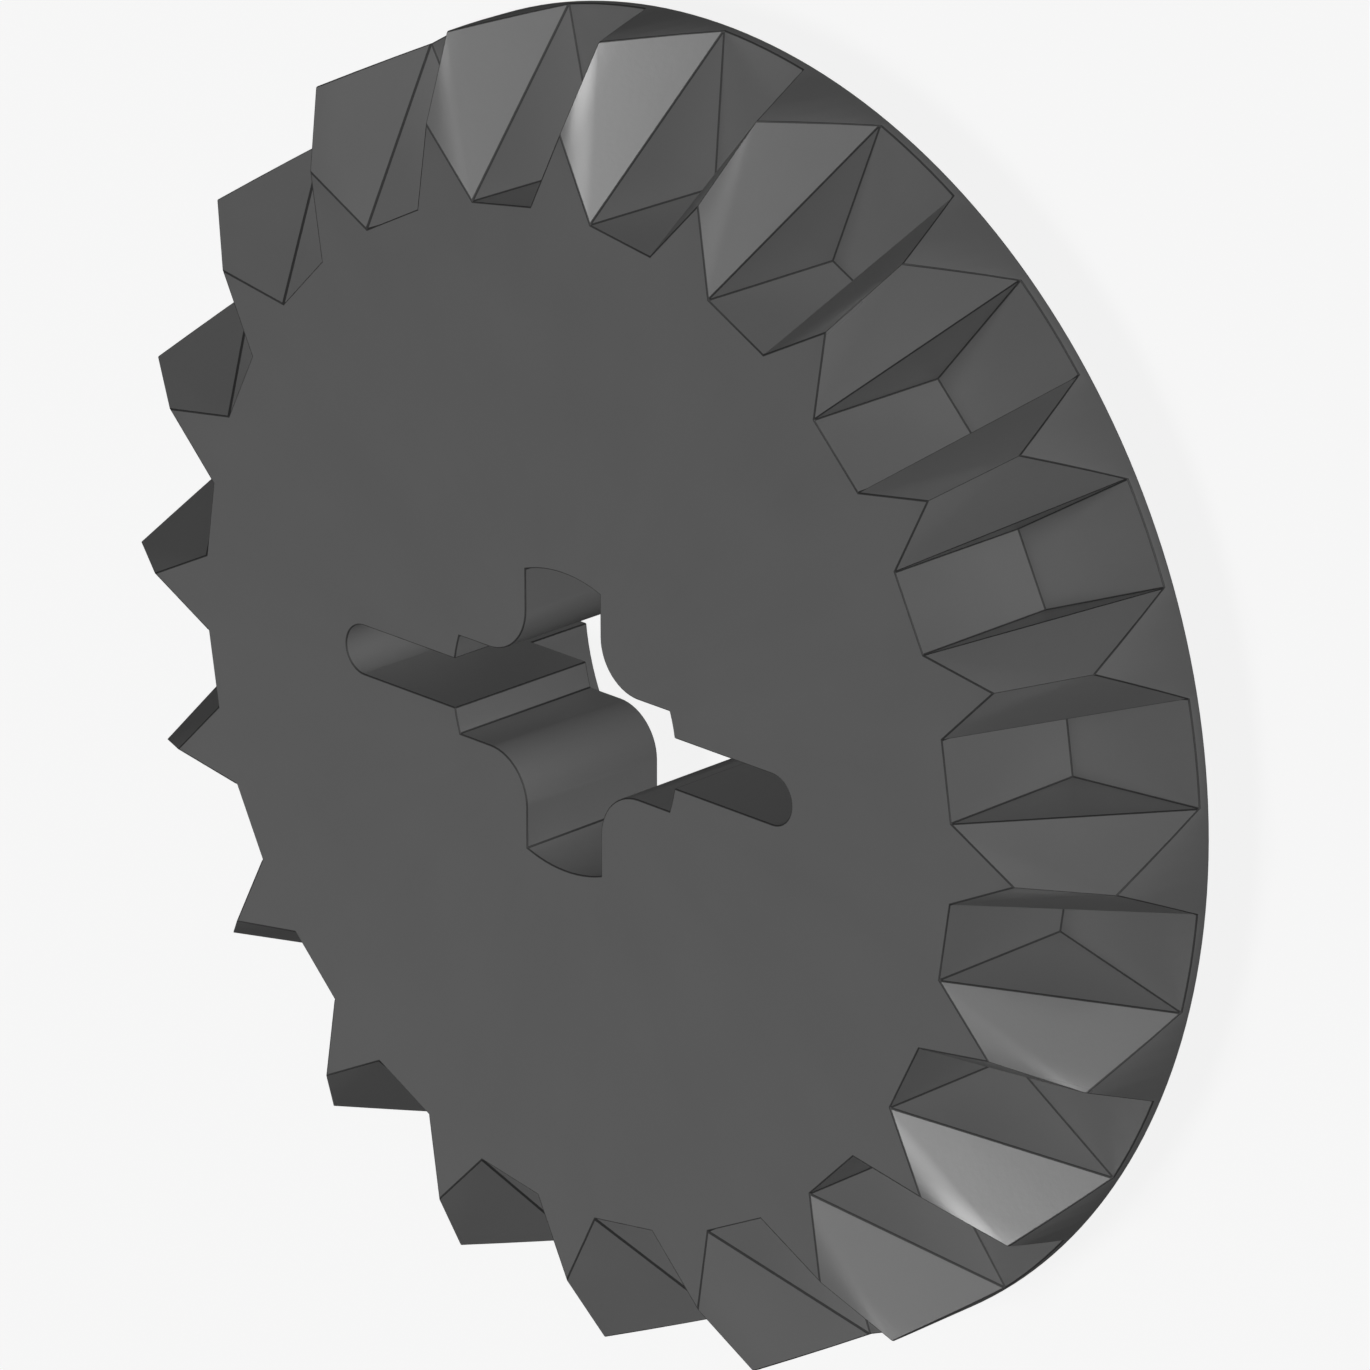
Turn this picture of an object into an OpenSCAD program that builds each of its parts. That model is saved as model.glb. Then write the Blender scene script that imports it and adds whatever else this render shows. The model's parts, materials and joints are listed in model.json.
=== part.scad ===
// Bevel gear with a cross shaped shaft hole, moulded in one piece.
// It lies on its hub with the teeth up. The origin is on the shaft axis, at the lowest face.

/* [Teeth] */
// Number of teeth around the gear
teeth = 20; // [12:1:28]
// Part of the pitch that a tooth takes at its foot
tooth_share = 0.5; // [0.4:0.05:0.6]
// Diameter where the tooth tips start, on the front face
tip_d = 18.5; // [17:0.1:20]
// Fall of the tip line from the front face to the rim
tip_fall = 0.82; // [0.4:0.02:1.6]
// Diameter across the flat floors between the teeth
root_d = 16; // [13:0.1:17]

/* [Disc] */
// Diameter over the rim, where the teeth end
rim_d = 21; // [20:0.1:25]
// Thickness of the disc, from its back to the front face
disc_t = 2.8; // [2:0.1:5]
// Thickness of the rim between two teeth
rim_t = 0.2; // [0.1:0.05:0.8]

/* [Hub] */
// Outer diameter of the hub on the back
hub_d = 9.6; // [8:0.1:15]
// Height of the hub behind the disc
hub_h = 1.2; // [0.4:0.1:4]
// Diameter of the round recess inside the hub
recess_d = 7.2; // [5.2:0.1:8.6]

/* [Shaft hole] */
// Width of the cross hole over its rounded ends
cross_d = 4.8; // [4:0.1:6]
// Width of each arm of the cross hole
cross_w = 1.6; // [1.2:0.1:2]
// Radius of the four inner corners of the cross hole
cross_r = 0.8; // [0.3:0.1:0.9]
// Length of the narrow slot through the cross hole
slot_l = 9.6; // [7:0.1:12]
// Width of the narrow slot
slot_w = 0.8; // [0.4:0.1:1.1]

/* [Hidden] */
$fn = 96;
gear_grey = [0.2, 0.2, 0.2];

pitch = 360 / teeth;
foot_half = pitch * tooth_share / 2;
gap_half = pitch / 2 - foot_half;
top_z = hub_h + disc_t;
floor_z = hub_h + rim_t;
rim_r = rim_d / 2;
tip_r = tip_d / 2;
root_r = root_d / 2 / cos(gap_half);

// Cuts run this far past the faces that they open
clear = 1;
// Stock left outside the rim before it is turned
trim = 0.02;

// Point at a radius and an angle around the shaft, at a height
function around(r, angle, z) = [r * cos(angle), r * sin(angle), z];

// Height at a radius on the straight line between two radii with known heights
function height_on(r, r0, z0, r1, z1) = z0 + (z1 - z0) * (r - r0) / (r1 - r0);

// Disc and teeth before the rim is turned round. Each tooth is a ridge: its tip line starts
// at the front face and falls to the rim, and its feet fall from the front face to the floor
// of the gap. Each flank folds along the line from the inner foot to the outer end of the
// tip line. The gap between two teeth has a flat floor along the shaft and an outer floor
// on the rim.
module toothed_blank() {
    out_r = (rim_r + trim) / cos(max(foot_half, gap_half));
    tip_end_r = out_r * cos(foot_half);
    tip_end_z = height_on(tip_end_r, tip_r, top_z, rim_r, top_z - tip_fall);

    // Corners of one tooth, and where each stands in its list
    tip = 0;
    tip_end = 1;
    foot = [2, 3];
    floor_in = [4, 5];
    floor_out = [6, 7];
    back = [8, 9];
    points = [for (i = [0 : teeth - 1]) let (a = i * pitch) each [
        around(tip_r, a, top_z),
        around(tip_end_r, a, tip_end_z),
        around(root_r, a - foot_half, top_z),
        around(root_r, a + foot_half, top_z),
        around(root_r, a - foot_half, floor_z),
        around(root_r, a + foot_half, floor_z),
        around(out_r, a - foot_half, floor_z),
        around(out_r, a + foot_half, floor_z),
        around(out_r, a - foot_half, hub_h),
        around(out_r, a + foot_half, hub_h)
    ]];
    corners = len(points) / teeth;

    tooth_faces = [
        [foot[1], tip, foot[0]],
        [foot[0], tip, tip_end],
        [foot[0], tip_end, floor_out[0]],
        [foot[1], tip_end, tip],
        [foot[1], floor_out[1], tip_end],
        [foot[0], floor_out[0], floor_in[0]],
        [foot[1], floor_in[1], floor_out[1]],
        [floor_out[0], tip_end, floor_out[1]],
        [floor_out[0], floor_out[1], back[1], back[0]]
    ];
    // In a gap the corners of the next tooth follow on those of this one
    gap_faces = [
        [foot[1], corners + foot[0], corners + floor_in[0], floor_in[1]],
        [floor_in[1], corners + floor_in[0], corners + floor_out[0], floor_out[1]],
        [floor_out[1], corners + floor_out[0], corners + back[0], back[1]]
    ];
    ring = [for (i = [0 : teeth - 1], f = concat(tooth_faces, gap_faces))
        [for (c = f) (i * corners + c) % (teeth * corners)]];
    // Each tooth has its own front, and the rest of the front face, within the feet, is convex
    front_face = [for (i = [teeth - 1 : -1 : 0], c = [foot[1], foot[0]]) i * corners + c];
    back_face = [for (i = [0 : teeth - 1], c = back) i * corners + c];
    polyhedron(points = points, faces = concat(ring, [front_face, back_face]), convexity = 6);
}

// Disc and teeth, turned to the rim diameter
module toothed_disc() {
    intersection() {
        toothed_blank();
        translate([0, 0, hub_h - clear])
            cylinder(h = disc_t + 2 * clear, r = rim_r);
    }
}

// Hub behind the disc, with the round recess and the slot right across it
module hub() {
    difference() {
        cylinder(h = hub_h + disc_t / 2, d = hub_d);
        translate([0, 0, -clear])
            cylinder(h = hub_h + clear, d = recess_d);
        translate([-hub_d, -slot_w / 2, -clear])
            cube([2 * hub_d, slot_w, hub_h + clear]);
    }
}

// Cross hole with round ends and rounded inner corners
module cross_profile() {
    corner = cross_w / 2 + cross_r;
    intersection() {
        circle(d = cross_d);
        union() {
            square([cross_d + clear, cross_w], center = true);
            square([cross_w, cross_d + clear], center = true);
            difference() {
                square(2 * corner, center = true);
                for (x = [-corner, corner])
                    for (y = [-corner, corner])
                        translate([x, y])
                            circle(r = cross_r);
            }
        }
    }
}

// Narrow slot with round ends
module slot_profile() {
    end_x = (slot_l - slot_w) / 2;
    square([2 * end_x, slot_w], center = true);
    for (x = [-end_x, end_x])
        translate([x, 0])
            circle(d = slot_w);
}

module shaft_hole() {
    translate([0, 0, hub_h - clear])
        linear_extrude(height = disc_t + 2 * clear)
            union() {
                cross_profile();
                slot_profile();
            }
}

// The whole gear, one solid
module bevel_gear() {
    color(gear_grey)
        difference() {
            union() {
                toothed_disc();
                hub();
            }
            shaft_hole();
        }
}

bevel_gear();
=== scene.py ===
"""Bevel gear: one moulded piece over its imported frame, its plastic, and a plain pale stage."""

import json
import math

import bmesh
import bpy
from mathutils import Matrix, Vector


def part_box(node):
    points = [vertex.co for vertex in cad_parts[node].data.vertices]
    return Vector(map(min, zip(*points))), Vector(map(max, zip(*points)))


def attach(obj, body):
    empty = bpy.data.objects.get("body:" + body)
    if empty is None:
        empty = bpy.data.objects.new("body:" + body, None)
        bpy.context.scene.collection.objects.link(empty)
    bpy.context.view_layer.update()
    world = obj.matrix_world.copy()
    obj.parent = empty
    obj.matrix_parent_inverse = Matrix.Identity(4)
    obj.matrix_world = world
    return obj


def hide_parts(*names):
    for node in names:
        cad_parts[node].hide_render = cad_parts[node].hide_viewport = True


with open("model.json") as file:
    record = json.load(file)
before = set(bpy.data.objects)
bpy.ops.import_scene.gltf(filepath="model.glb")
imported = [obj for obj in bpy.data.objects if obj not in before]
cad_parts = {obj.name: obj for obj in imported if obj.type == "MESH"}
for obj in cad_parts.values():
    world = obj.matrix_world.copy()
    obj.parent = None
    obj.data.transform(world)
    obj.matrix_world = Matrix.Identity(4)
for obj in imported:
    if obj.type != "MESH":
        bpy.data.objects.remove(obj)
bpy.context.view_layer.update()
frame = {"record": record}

bl_info = {
    "name": "Bevel Gear",
    "version": (1, 0, 0),
    "blender": (4, 5, 0),
    "location": "3D View > Sidebar > Bevel Gear",
    "description": "Builds a moulded bevel gear over its frame, with a floor, lamps and a camera",
    "category": "Object",
}

NODE = "bevel_gear"
SLOT = "gear_plastic"
MM = 0.001

# Corners that lie closer than this are one vertex
SAME_PLACE = MM * 1e-4
# Lengths that differ by less count as the same
NEAR = 1e-9
# Decimals of a degree to which two angles are compared
ANGLE_DIGITS = 6
# A fold under this, such as the one in each flank, has no rounding and stays smooth
SOFT_FOLD = math.radians(20)

# Straight steps along the curves
TOOTH_STEPS = 3  # from the middle of a tooth to its foot, on the rim
GAP_STEPS = 6  # across a gap, on the rim
HUB_STEPS = 60  # half round the hub and its recess
SLOT_END_STEPS = 10  # half of an end of the slot
BESIDE_SLOT_STEPS = 3  # the cross hole's end on one side of the slot
CORNER_STEPS = 14  # an inner corner of the cross hole
ARM_END_STEPS = 6  # half of the cross hole's end across the slot
EDGE_STEPS = 3  # across a rounded edge

# The plastic. Lengths are in mm, and scales are waves in a mm.
MOTTLE_SCALE, MOTTLE_DETAIL = 0.55, 2.0
GRAIN_DETAIL, GRAIN_ROUGHNESS = 2.0, 0.6
RIPPLE_DETAIL = 1.0
# The flow lines' noise is stretched: it changes fast around the shaft and slowly outwards.
FLOW_AROUND, FLOW_OUTWARDS = 5.0, 0.12
FLOW_SCALE, FLOW_DETAIL = 2.2, 3.0
# Distances from a tip line between which the polish fades, and how far inside it sets in
POLISH_FADE = (0.05, 0.55)
POLISH_START = 0.6
# Heights over a gap's floor between which the gap's darkening fades, how far inside its wall it
# sets in and is full, how far out from the wall it ends, and its share where no flow line crosses
DARKENING_FADE = (-0.01, 0.8)
DARKENING_START = (-0.15, -0.05)
DARKENING_REACH = 0.9
DARKENING_BASE = 0.6
# What the unevenness, the gaps' darkening and the edges add to the roughness
UNEVEN_SHEEN = 0.06
DARKENING_SHEEN = 0.15
EDGE_SHEEN = 0.3

# The stage, in metres apart from the camera's sensor
FLOOR_RADIUS = 3.0
FLOOR_SIDES = 64
FLOOR_GAP = 0.02 * MM
LAMP_DISTANCE = 0.3
SENSOR_WIDTH_MM = 36
CLIP_START, CLIP_END = 0.01, 10

# Each lamp's name, the direction that it shines from, the stage's value for its strength, its
# spread in degrees and whether it casts shadows. The photograph shows no shadows, so the key and
# side lamps cast none.
LAMPS = (
    ("key_lamp", (0.825, 0.422, 0.375), "key", 28, False),
    ("right_lamp", (0.49, 0.85, 0.21), "side", 14, False),
    ("left_lamp", (0.98, 0.0, 0.21), "side", 14, False),
    ("top_lamp", (0.04, 0.06, 1.0), "top", 20, True),
    ("back_lamp", (-0.7, -0.65, 0.3), "back", 40, True),
)

# How the editor lays the nodes out
NODE_COLUMNS, NODE_WIDTH, NODE_HEIGHT = 12, 220, 260

low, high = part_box(NODE)
recorded = next(m for m in frame["record"]["materials"] if m["slot"] == SLOT)


def length(name, description, default):
    """A size of the gear, in metres."""
    return bpy.props.FloatProperty(
        name=name,
        description=description,
        default=default,
        min=0.0,
        precision=6,
        unit="LENGTH",
    )


def share(name, description, default):
    """A plain factor."""
    return bpy.props.FloatProperty(
        name=name,
        description=description,
        default=default,
        min=0.0,
        max=1.0,
        subtype="FACTOR",
    )


def strength(name, description, default):
    """Strength of a lamp."""
    return bpy.props.FloatProperty(
        name=name,
        description=description,
        default=default,
        min=0.0,
    )


class GearShape(bpy.types.PropertyGroup):
    """Sizes of the moulded gear."""

    teeth: bpy.props.IntProperty(
        name="Teeth",
        description="Number of teeth, which is even",
        default=20,
        min=8,
        step=2,
    )
    tooth_share: share("Tooth share", "Part of the pitch that a tooth takes at its foot", 0.5)
    tip_d: length("Tip diameter", "Diameter where the tips start, on the front face", 18.5 * MM)
    tip_fall: length("Tip fall", "Fall of the tip line from the front face to the rim", 0.82 * MM)
    root_d: length("Root diameter", "Diameter across the flat walls between the teeth", 16 * MM)
    rim_d: length("Rim diameter", "Diameter over the rim, where the teeth end", high.x - low.x)
    height: length("Height", "From the hub's end face to the front face", high.z - low.z)
    disc_t: length("Disc thickness", "From the disc's back to the front face", 2.8 * MM)
    rim_t: length("Rim thickness", "Thickness of the rim between two teeth", 0.2 * MM)
    hub_d: length("Hub diameter", "Outer diameter of the hub on the back", 9.6 * MM)
    recess_d: length("Recess diameter", "Diameter of the round recess in the hub", 7.2 * MM)
    cross_d: length("Cross width", "Width of the cross hole over its rounded ends", 4.8 * MM)
    cross_w: length("Cross arm width", "Width of each arm of the cross hole", 1.6 * MM)
    cross_r: length("Cross corner radius", "Radius of the cross hole's inner corners", 0.8 * MM)
    slot_l: length("Slot length", "Length of the narrow slot over its round ends", 9.6 * MM)
    slot_w: length("Slot width", "Width of the narrow slot", 0.8 * MM)
    edge_r: length("Edge rounding", "Rounding that the mould leaves along each edge", 0.02 * MM)


class GearFinish(bpy.types.PropertyGroup):
    """Look of the moulded plastic."""

    colour: bpy.props.FloatVectorProperty(
        name="Colour",
        description="Colour of the plastic",
        default=recorded["base_color"][:3],
        min=0.0,
        max=1.0,
        subtype="COLOR",
    )
    roughness: share("Roughness", "Roughness of the moulded skin", 0.38)
    ior: bpy.props.FloatProperty(
        name="Refraction",
        description="Index of refraction, which sets how strong the gloss is",
        default=1.8,
        min=1.0,
    )
    # The edges' darker tone is painted shade: a dark line along every rounded edge.
    painted_edge_shade: share("Edge tone", "Brightness of the rounded edges against the faces", 0.12)
    flow: share("Flow lines", "Strength of the streaks in which the plastic filled the mould", 0.02)
    mottle: share("Mottle", "Strength of the broad unevenness in colour and sheen", 0.04)
    # Darkens the plastic deep in the gaps, near the walls between the teeth.
    gap_darkening: share("Dimming", "Darkening deep between the teeth", 0.1)
    polish: share("Polish", "How much smoother the tooth tips are worn", 0.1)
    grain: length("Grain size", "Size of the mould's spark grain", 0.09 * MM)
    grain_depth: length("Grain depth", "Depth of the spark grain", 0.0012 * MM)
    ripple: length("Ripple size", "Size of the soft ripple in the skin", 0.6 * MM)
    ripple_depth: length("Ripple depth", "Depth of the soft ripple", 0.0015 * MM)


class GearStage(bpy.types.PropertyGroup):
    """Floor, lamps and camera."""

    pale: share("Background", "Brightness of the floor and the background to the camera", 0.92)
    shadow: share("Shadow", "Share of the lamps' light and of the shadows in the floor's look", 0.2)
    mirrored: share("Reflected background", "Share of the background that reflections show", 0.04)
    floor_tone: share("Floor tone", "Tone of the floor as it lights the gear", 0.05)
    ambient: share("Ambient", "Light that comes from all round", 0.01)
    key: strength("Key lamp", "Strength of the key lamp", 1.22)
    side: strength("Side lamps", "Strength of the two low lamps beside the key lamp", 0.17)
    top: strength("Top lamp", "Strength of the lamp above", 0.7)
    back: strength("Back lamp", "Strength of the lamp behind", 0.2)
    lens: bpy.props.FloatProperty(
        name="Lens",
        description="Focal length of the camera",
        default=216.7,
        min=1.0,
        unit="CAMERA",
    )
    camera_place: bpy.props.FloatVectorProperty(
        name="Camera place",
        description="Where the camera stands",
        default=(0.083127, 0.044996, 0.084634),
        precision=6,
        subtype="TRANSLATION",
        unit="LENGTH",
    )
    camera_turn: bpy.props.FloatVectorProperty(
        name="Camera turn",
        description="How the camera is turned",
        default=(-0.366634, 0.784545, -0.000829),
        precision=6,
        subtype="EULER",
        unit="ROTATION",
    )


# ---- The moulded gear ----


def polar(radius, degrees, z):
    """Place at a radius and an angle around the shaft, at a height."""
    angle = math.radians(degrees)
    return (radius * math.cos(angle), radius * math.sin(angle), z)


def arc(x, y, radius, start, end, steps):
    """Points of an arc in the plane, both ends among them."""
    angles = [math.radians(start + (end - start) * i / steps) for i in range(steps + 1)]
    return [(x + radius * math.cos(a), y + radius * math.sin(a)) for a in angles]


def between(start, end, steps):
    """Evenly spaced numbers from start to end, without the end."""
    return [start + (end - start) * i / steps for i in range(steps)]


class Skin:
    """Faces made from the places of their corners. Corners in one place are one vertex."""

    def __init__(self):
        self.bm = bmesh.new()
        self.corners = {}

    def corner(self, place):
        key = tuple(round(c / SAME_PLACE) for c in place)
        if key not in self.corners:
            self.corners[key] = self.bm.verts.new(place)
        return self.corners[key]

    def face(self, *places):
        return self.bm.faces.new([self.corner(p) for p in places])

    def strip(self, first, second):
        """Quads between two lines of as many points."""
        for i in range(len(first) - 1):
            self.face(first[i], first[i + 1], second[i + 1], second[i])

    def wall(self, outline, bottom, top):
        """Upright quads along an outline in the plane."""
        self.strip([(x, y, bottom) for x, y in outline], [(x, y, top) for x, y in outline])


def add_teeth(skin, s):
    """The ridge-shaped teeth, the gaps between them and the rim. Returns the rim's angles."""
    pitch = 360 / s.teeth
    foot = pitch * s.tooth_share / 2
    top, back = s.height, s.height - s.disc_t
    floor = back + s.rim_t
    rim = s.rim_d / 2
    root = s.root_d / 2 / math.cos(math.radians(pitch / 2 - foot))
    rim_angles = []
    for i in range(s.teeth):
        middle = i * pitch
        tip, tip_end = polar(s.tip_d / 2, middle, top), polar(rim, middle, top - s.tip_fall)
        crest = {}
        for side in (-1, 1):
            edge = middle + side * foot
            inner, deep = polar(root, edge, top), polar(root, edge, floor)
            outer = polar(rim, edge, floor)
            # The outer flank is a plane through the inner foot, the tip line's end and the outer
            # foot, and the round rim cuts it in a curve.
            across = (Vector(tip_end) - Vector(inner)).cross(Vector(outer) - Vector(inner))
            curve = []
            for turn in between(0, foot, TOOTH_STEPS):
                x, y, _ = polar(rim, middle + side * turn, 0)
                fall = across.x * (x - inner[0]) + across.y * (y - inner[1])
                curve.append((x, y, inner[2] - fall / across.z))
                crest[side * turn] = curve[-1]
            crest[side * foot] = outer
            skin.face(inner, tip, tip_end)
            skin.face(inner, *curve, outer)
            skin.face(inner, outer, deep)
        turns = sorted(crest)
        skin.strip([polar(rim, middle + t, back) for t in turns], [crest[t] for t in turns])
        # The gap after this tooth: its wall, its floor and its rim
        start, end = middle + foot, middle + pitch - foot
        gap = [*between(start, end, GAP_STEPS), end]
        rim_angles += [middle + t for t in turns if t >= 0] + gap[1:]
        rim_angles += [middle + pitch + t for t in turns if -foot < t < 0]
        deep_start, deep_end = polar(root, start, floor), polar(root, end, floor)
        skin.face(deep_start, deep_end, polar(root, end, top), polar(root, start, top))
        skin.face(deep_start, *(polar(rim, a, floor) for a in gap), deep_end)
        skin.strip([polar(rim, a, back) for a in gap], [polar(rim, a, floor) for a in gap])
    return rim_angles


def hole_half(s):
    """The shaft hole's outline above the X axis, from the slot's end on +X to its end on -X."""
    slot, arm, radius = s.slot_w / 2, s.cross_w / 2, s.cross_d / 2
    corner = arm + s.cross_r
    slot_turn, arm_turn = (math.degrees(math.asin(w / radius)) for w in (slot, arm))
    quarter = arc((s.slot_l - s.slot_w) / 2, 0, slot, 0, 90, SLOT_END_STEPS)
    quarter += arc(0, 0, radius, slot_turn, arm_turn, BESIDE_SLOT_STEPS)
    quarter += arc(corner, corner, s.cross_r, -90, -180, CORNER_STEPS)
    quarter += arc(0, 0, radius, 90 - arm_turn, 90, ARM_END_STEPS)
    return quarter + [(-x, y) for x, y in reversed(quarter[:-1])]


def add_middle(skin, s, rim_angles):
    """The front face, the shaft hole, the disc's back and the hub, in two halves."""
    pitch = 360 / s.teeth
    foot = pitch * s.tooth_share / 2
    top, back = s.height, s.height - s.disc_t
    root = s.root_d / 2 / math.cos(math.radians(pitch / 2 - foot))
    slot, slot_end = s.slot_w / 2, (s.slot_l - s.slot_w) / 2
    hub, recess = s.hub_d / 2, s.recess_d / 2
    hub_x, recess_x = math.sqrt(hub**2 - slot**2), math.sqrt(recess**2 - slot**2)
    cross_x = math.sqrt((s.cross_d / 2) ** 2 - slot**2)
    hub_turn, recess_turn = (math.degrees(math.asin(slot / r)) for r in (hub, recess))
    outline = hole_half(s)
    half_rim = sorted(a for a in {round(a, ANGLE_DIGITS) for a in rim_angles} if a <= 180)
    # The front face's edge runs out to the tip lines and back to the gaps' walls.
    star = [polar(s.tip_d / 2, 0, top)]
    for i in range(s.teeth // 2):
        middle = i * pitch
        star += [polar(root, middle + foot, top), polar(root, middle + pitch - foot, top)]
        star.append(polar(s.tip_d / 2, middle + pitch, top))
    # The slot's straight sides start after its end on +X and end before its end on -X.
    straight = (SLOT_END_STEPS, len(outline) - 2 - SLOT_END_STEPS)
    hub_arc = arc(0, 0, hub, hub_turn, 180 - hub_turn, HUB_STEPS)
    recess_arc = arc(0, 0, recess, recess_turn, 180 - recess_turn, HUB_STEPS)
    ends = SLOT_END_STEPS + 1  # points of the outline on one end of the slot
    for side in (1, -1):

        def at(points, z=None):
            return [(p[0], side * p[1], p[2] if z is None else z) for p in points]

        skin.face(*at(star), *at(reversed(outline), top))
        for i in range(len(outline) - 1):
            if i not in straight:
                skin.wall([(x, side * y) for x, y in outline[i : i + 2]], back, top)
        for way in (1, -1):
            # One slot wall and the hub's end wall below it are one flat face.
            profile = [(cross_x, top), (slot_end, top), (slot_end, back), (hub_x, back)]
            profile += [(hub_x, 0), (recess_x, 0), (recess_x, back), (cross_x, back)]
            skin.face(*((way * x, side * slot, z) for x, z in profile))
        skin.face(
            *at([polar(s.rim_d / 2, a, back) for a in half_rim]),
            *at(outline[-1 : -1 - ends : -1], back),
            *at(reversed(hub_arc), back),
            *at(reversed(outline[:ends]), back),
        )
        skin.face(*at(recess_arc, back), *at(reversed(outline[ends : len(outline) - ends]), back))
        skin.wall([(x, side * y) for x, y in hub_arc], 0, back)
        skin.wall([(x, side * y) for x, y in recess_arc], 0, back)
        skin.strip(at(hub_arc, 0), at(recess_arc, 0))


def round_edges(skin, s):
    """Marks the edges that the mould leaves rounded, and the few that stay sharp."""
    weight = skin.bm.edges.layers.float.new("bevel_weight_edge")
    back, slot_end = s.height - s.disc_t, (s.slot_l - s.slot_w) / 2
    hub = s.hub_d / 2
    for edge in skin.bm.edges:
        if len(edge.link_faces) != 2:
            raise RuntimeError("the gear's skin is open")
        if edge.calc_face_angle() < SOFT_FOLD:
            continue
        # At the slot's ends the disc's back narrows to nothing, where a rounding finds no room.
        narrow = all(
            abs(v.co.z - back) < NEAR
            and abs(v.co.y) < s.slot_w / 2 + NEAR
            and slot_end - NEAR < abs(v.co.x) < hub + NEAR
            for v in edge.verts
        )
        if narrow:
            edge.smooth = False
        else:
            edge[weight] = 1.0


class GEAR_OT_moulding(bpy.types.Operator):
    """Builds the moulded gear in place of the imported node"""

    bl_idname = "gear.moulding"
    bl_label = "Moulded gear"

    def execute(self, context):
        s = context.scene.gear_shape
        if s.teeth % 2:
            raise RuntimeError("the number of teeth has to be even")
        skin = Skin()
        add_middle(skin, s, add_teeth(skin, s))
        bmesh.ops.recalc_face_normals(skin.bm, faces=skin.bm.faces)
        if skin.bm.calc_volume(signed=True) < 0:
            bmesh.ops.reverse_faces(skin.bm, faces=skin.bm.faces)
        for face in skin.bm.faces:
            face.smooth = True
        round_edges(skin, s)
        mesh = bpy.data.meshes.new("gear_moulding")
        skin.bm.to_mesh(mesh)
        skin.bm.free()
        gear = bpy.data.objects.new("gear_moulding", mesh)
        context.scene.collection.objects.link(gear)
        finish = context.scene.gear_finish
        mesh.materials.append(plastic("moulded_plastic", finish, s, 1.0))
        # The rounded edges take a darker copy of the plastic, painted shade along each edge.
        mesh.materials.append(plastic("moulded_plastic_edges", finish, s, finish.painted_edge_shade))
        rounding = gear.modifiers.new("edge_rounding", "BEVEL")
        rounding.width = s.edge_r
        rounding.segments = EDGE_STEPS
        rounding.limit_method = "WEIGHT"
        rounding.use_clamp_overlap = False
        rounding.material = 1
        rounding.face_strength_mode = "FSTR_ALL"
        shading = gear.modifiers.new("flat_faces", "WEIGHTED_NORMAL")
        shading.keep_sharp = True
        shading.use_face_influence = True
        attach(gear, "root")
        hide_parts(NODE)
        return {"FINISHED"}


# ---- Shader maths ----


class Signal:
    """A socket in Python expressions. Numbers go through Math, vectors through Vector Math."""

    def __init__(self, wiring, socket, vector=False):
        self.wiring, self.socket, self.vector = wiring, socket, vector

    def _math(self, operation, first, second):
        node = self.wiring.node("ShaderNodeMath", {"operation": operation}, {0: first, 1: second})
        return Signal(self.wiring, node.outputs[0])

    def _vector(self, operation, first, second):
        inputs = {0: first, "Scale": second} if operation == "SCALE" else {0: first, 1: second}
        node = self.wiring.node("ShaderNodeVectorMath", {"operation": operation}, inputs)
        return Signal(self.wiring, node.outputs["Vector"], vector=True)

    def _same(self, operation, first, second):
        """An operation that goes by one name for numbers and vectors."""
        return (self._vector if self.vector else self._math)(operation, first, second)

    def __add__(self, other):
        return self._same("ADD", self, other)

    __radd__ = __add__

    def __sub__(self, other):
        return self._same("SUBTRACT", self, other)

    def __rsub__(self, other):
        return self._same("SUBTRACT", other, self)

    def __mul__(self, other):
        if self.vector:
            return self._vector("SCALE", self, other)
        return self._math("MULTIPLY", self, other)

    __rmul__ = __mul__

    def __truediv__(self, other):
        if self.vector:
            return self._vector("SCALE", self, 1 / other)
        return self._math("DIVIDE", self, other)

    def __rtruediv__(self, other):
        return self._math("DIVIDE", other, self)

    def __pow__(self, other):
        return self._math("POWER", self, other)

    def __abs__(self):
        return self._math("ABSOLUTE", self, 0.0)

    def nearest(self):
        return self._math("ROUND", self, 0.0)

    def angle_from(self, other):
        """Angle whose tangent is self over other."""
        return self._math("ARCTAN2", self, other)

    def rise(self, start, end):
        """0 up to start, 1 from end on, and smooth between them."""
        settings = {"interpolation_type": "SMOOTHSTEP"}
        inputs = {"Value": self, "From Min": start, "From Max": end}
        node = self.wiring.node("ShaderNodeMapRange", settings, inputs)
        return Signal(self.wiring, node.outputs["Result"])

    def parts(self):
        """x, y and z of a vector."""
        node = self.wiring.node("ShaderNodeSeparateXYZ", {}, {0: self})
        return [Signal(self.wiring, out) for out in node.outputs]


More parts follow.
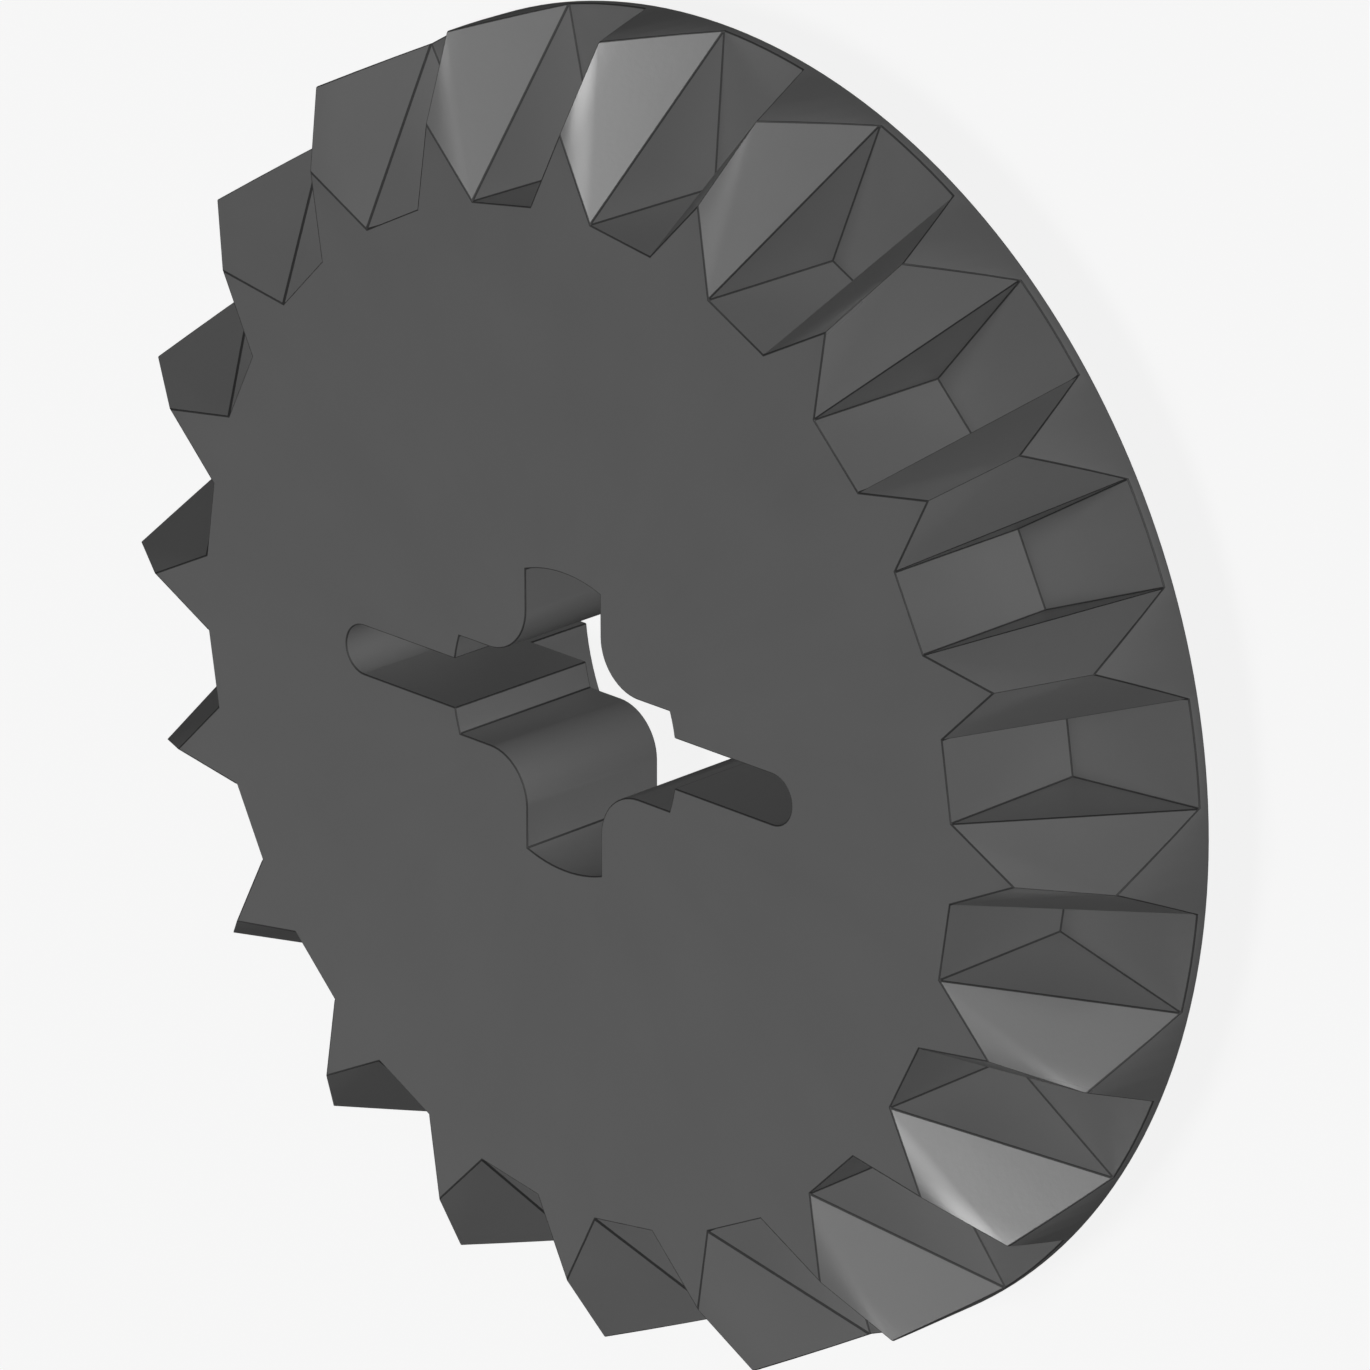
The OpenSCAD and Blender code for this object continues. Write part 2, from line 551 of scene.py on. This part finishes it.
class Wiring:
    """Adds nodes to one tree."""

    def __init__(self, tree):
        self.tree = tree
        self.tree.nodes.clear()

    def node(self, kind, settings, inputs):
        """A node of that type. Its settings come first, then the values or links of its sockets."""
        node = self.tree.nodes.new(kind)
        row, column = divmod(len(self.tree.nodes), NODE_COLUMNS)
        node.location = (NODE_WIDTH * column, -NODE_HEIGHT * row)
        for name, value in settings.items():
            setattr(node, name, value)
        for name, value in inputs.items():
            if isinstance(value, Signal):
                value = value.socket
            if isinstance(value, bpy.types.NodeSocket):
                self.tree.links.new(value, node.inputs[name])
            else:
                node.inputs[name].default_value = value
        return node

    def vector(self, x, y, z):
        node = self.node("ShaderNodeCombineXYZ", {}, {"X": x, "Y": y, "Z": z})
        return Signal(self, node.outputs[0], vector=True)

    def noise(self, place, scale, detail=2.0, roughness=0.5):
        """Noise from 0 to 1 with that many waves in a unit of place."""
        inputs = {"Vector": place, "Scale": scale, "Detail": detail, "Roughness": roughness}
        node = self.node("ShaderNodeTexNoise", {"noise_dimensions": "3D"}, inputs)
        return Signal(self, node.outputs[0])

    def tinted(self, colour, tone):
        """A colour times a number."""
        grey = self.node("ShaderNodeCombineColor", {}, {0: tone, 1: tone, 2: tone})
        settings = {"data_type": "RGBA", "blend_type": "MULTIPLY"}
        # A mix of colours takes them in its sockets 6 and 7 and gives out its third.
        inputs = {"Factor": 1.0, 6: (*colour, 1.0), 7: grey.outputs[0]}
        return self.node("ShaderNodeMix", settings, inputs).outputs[2]


def plastic(name, finish, s, tone):
    """Satin moulded plastic with spark grain, flow lines, darker gaps and polished tips."""
    material = bpy.data.materials.new(name)
    material.use_nodes = True
    w = Wiring(material.node_tree)
    # From here on lengths are in mm.
    place = Signal(w, w.node("ShaderNodeTexCoord", {}, {}).outputs["Object"], vector=True) / MM
    x, y, z = place.parts()
    radius = (x * x + y * y) ** 0.5

    # Flow lines and mottle run from -0.5 to 0.5.
    outwards = w.vector(x / radius * FLOW_AROUND, y / radius * FLOW_AROUND, radius * FLOW_OUTWARDS)
    flow = w.noise(outwards, FLOW_SCALE, FLOW_DETAIL) - 0.5
    mottle = w.noise(place, MOTTLE_SCALE, MOTTLE_DETAIL) - 0.5
    grain = w.noise(place, MM / finish.grain, GRAIN_DETAIL, GRAIN_ROUGHNESS)
    ripple = w.noise(place, MM / finish.ripple, RIPPLE_DETAIL)

    # Distance from the middle line of the nearest tooth, and from its tip line downwards
    turn = y.angle_from(x) * (s.teeth / (2 * math.pi))
    beside = abs(turn - turn.nearest()) * radius * (2 * math.pi / s.teeth)
    slope = s.tip_fall / (s.rim_d / 2 - s.tip_d / 2)
    below = (s.height + s.tip_d / 2 * slope) / MM - radius * slope - z
    tip = s.tip_d / 2 / MM
    tips = (1 - (beside + below).rise(*POLISH_FADE)) * radius.rise(tip - POLISH_START, tip)

    # The gaps are darker deep down near their walls, unevenly along the flow lines.
    floor = (s.height - s.disc_t + s.rim_t) / MM
    root = s.root_d / 2 / MM
    low_down = 1 - z.rise(*(floor + h for h in DARKENING_FADE))
    deep = low_down * radius.rise(*(root + r for r in DARKENING_START))
    gap_darkening = deep * (1 - radius.rise(root, root + DARKENING_REACH)) * (DARKENING_BASE + flow)

    shade = 1 + flow * (2 * finish.flow) + mottle * (2 * finish.mottle) - gap_darkening * finish.gap_darkening
    sheen = finish.roughness + (mottle + flow) * UNEVEN_SHEEN + gap_darkening * DARKENING_SHEEN
    sheen = sheen - tips * finish.polish + (1 - tone) * EDGE_SHEEN
    height = grain * (finish.grain_depth / MM) + ripple * (finish.ripple_depth / MM)
    relief = w.node("ShaderNodeBump", {}, {"Strength": 1.0, "Distance": MM, "Height": height})

    # A tone below 1, as on the rounded edges, is painted shade in the colour.
    shader = w.node(
        "ShaderNodeBsdfPrincipled",
        {},
        {
            "Base Color": w.tinted(finish.colour, shade * tone),
            "Roughness": sheen,
            "Normal": relief.outputs[0],
            "IOR": finish.ior,
        },
    )
    w.node("ShaderNodeOutputMaterial", {}, {"Surface": shader.outputs[0]})
    return material


# ---- Floor, lamps and camera ----


def seen_share(w, stage):
    """1 for what the camera sees straight or through glass, and less in reflections."""
    path = w.node("ShaderNodeLightPath", {}, {})
    kinds = ("Is Camera Ray", "Is Glossy Ray", "Is Transmission Ray")
    straight, glossy, through = (Signal(w, path.outputs[kind]) for kind in kinds)
    return straight + through + glossy * stage.mirrored


def floor_material(stage):
    """Floor that is pale to the camera and dark where it lights the gear."""
    material = bpy.data.materials.new("pale_floor")
    material.use_nodes = True
    w = Wiring(material.node_tree)
    tone, pale = stage.floor_tone, stage.pale
    # The lamps give a part of the pale look, so that shadows show in it, and a glow gives the rest.
    # The low lamps light the floor with about a third of their strength.
    lamps = pale * (stage.top + (stage.key + stage.side + stage.back) / 3) / math.pi
    glow = (pale - stage.shadow * lamps) / (1 - stage.shadow)
    matt = w.node("ShaderNodeBsdfDiffuse", {}, {"Color": (pale, pale, pale, 1.0)})
    light = {"Color": (glow, glow, glow, 1.0), "Strength": 1.0}
    glowing = w.node("ShaderNodeEmission", {}, light)
    inputs = {0: 1 - stage.shadow, 1: matt.outputs[0], 2: glowing.outputs[0]}
    look = w.node("ShaderNodeMixShader", {}, inputs)
    dark = w.node("ShaderNodeBsdfDiffuse", {}, {"Color": (tone, tone, tone, 1.0)})
    inputs = {0: seen_share(w, stage), 1: dark.outputs[0], 2: look.outputs[0]}
    mixed = w.node("ShaderNodeMixShader", {}, inputs)
    w.node("ShaderNodeOutputMaterial", {}, {"Surface": mixed.outputs[0]})
    return material


def pale_world(stage):
    """Background that is pale to the camera and gives the gear little light."""
    world = bpy.data.worlds.new("pale_room")
    world.use_nodes = True
    w = Wiring(world.node_tree)
    level = stage.ambient + seen_share(w, stage) * (stage.pale - stage.ambient)
    colour = w.node("ShaderNodeCombineColor", {}, {0: level, 1: level, 2: level})
    background = w.node("ShaderNodeBackground", {}, {"Color": colour.outputs[0], "Strength": 1.0})
    w.node("ShaderNodeOutputWorld", {}, {"Surface": background.outputs[0]})
    return world


def add_lamp(scene, name, towards, energy, spread, shadows):
    """A broad, distant lamp that shines from that direction."""
    lamp = bpy.data.lights.new(name, "SUN")
    lamp.energy = energy
    lamp.angle = math.radians(spread)
    lamp.use_shadow = shadows
    holder = bpy.data.objects.new(name, lamp)
    direction = Vector(towards).normalized()
    holder.location = direction * LAMP_DISTANCE
    holder.rotation_euler = direction.to_track_quat("Z", "Y").to_euler()
    scene.collection.objects.link(holder)


class GEAR_OT_stage(bpy.types.Operator):
    """Builds the floor, the lamps and the camera"""

    bl_idname = "gear.stage"
    bl_label = "Stage"

    def execute(self, context):
        scene, stage = context.scene, context.scene.gear_stage
        bm = bmesh.new()
        bmesh.ops.create_circle(bm, cap_ends=True, radius=FLOOR_RADIUS, segments=FLOOR_SIDES)
        mesh = bpy.data.meshes.new("floor")
        bm.to_mesh(mesh)
        bm.free()
        mesh.materials.append(floor_material(stage))
        floor = bpy.data.objects.new("floor", mesh)
        # The floor stays a hair below the hub's end face, so that the two faces don't coincide.
        floor.location.z = low.z - FLOOR_GAP
        scene.collection.objects.link(floor)
        scene.world = pale_world(stage)
        for name, towards, source, spread, shadows in LAMPS:
            add_lamp(scene, name, towards, getattr(stage, source), spread, shadows)
        camera = bpy.data.cameras.new("camera")
        camera.lens = stage.lens
        camera.sensor_width = SENSOR_WIDTH_MM
        camera.clip_start, camera.clip_end = CLIP_START, CLIP_END
        holder = bpy.data.objects.new("camera", camera)
        holder.location = stage.camera_place
        holder.rotation_euler = stage.camera_turn
        scene.collection.objects.link(holder)
        scene.camera = holder
        scene.view_settings.view_transform = "Standard"
        return {"FINISHED"}


class GEAR_PT_panel(bpy.types.Panel):
    """Sizes, finish and stage of the bevel gear"""

    bl_idname = "GEAR_PT_panel"
    bl_label = "Bevel Gear"
    bl_space_type = "VIEW_3D"
    bl_region_type = "UI"
    bl_category = "Bevel Gear"

    def draw(self, context):
        groups = (
            (context.scene.gear_shape, GEAR_OT_moulding),
            (context.scene.gear_finish, None),
            (context.scene.gear_stage, GEAR_OT_stage),
        )
        for group, operator in groups:
            box = self.layout.box()
            for name in group.__annotations__:
                box.prop(group, name)
            if operator:
                box.operator(operator.bl_idname)


CLASSES = (GearShape, GearFinish, GearStage, GEAR_OT_moulding, GEAR_OT_stage, GEAR_PT_panel)
GROUPS = {"gear_shape": GearShape, "gear_finish": GearFinish, "gear_stage": GearStage}


def register():
    for cls in CLASSES:
        bpy.utils.register_class(cls)
    for name, cls in GROUPS.items():
        setattr(bpy.types.Scene, name, bpy.props.PointerProperty(type=cls))


def unregister():
    for name in GROUPS:
        delattr(bpy.types.Scene, name)
    for cls in reversed(CLASSES):
        bpy.utils.unregister_class(cls)


def main():
    register()
    bpy.ops.gear.moulding()
    bpy.ops.gear.stage()


if __name__ == "__main__":
    main()
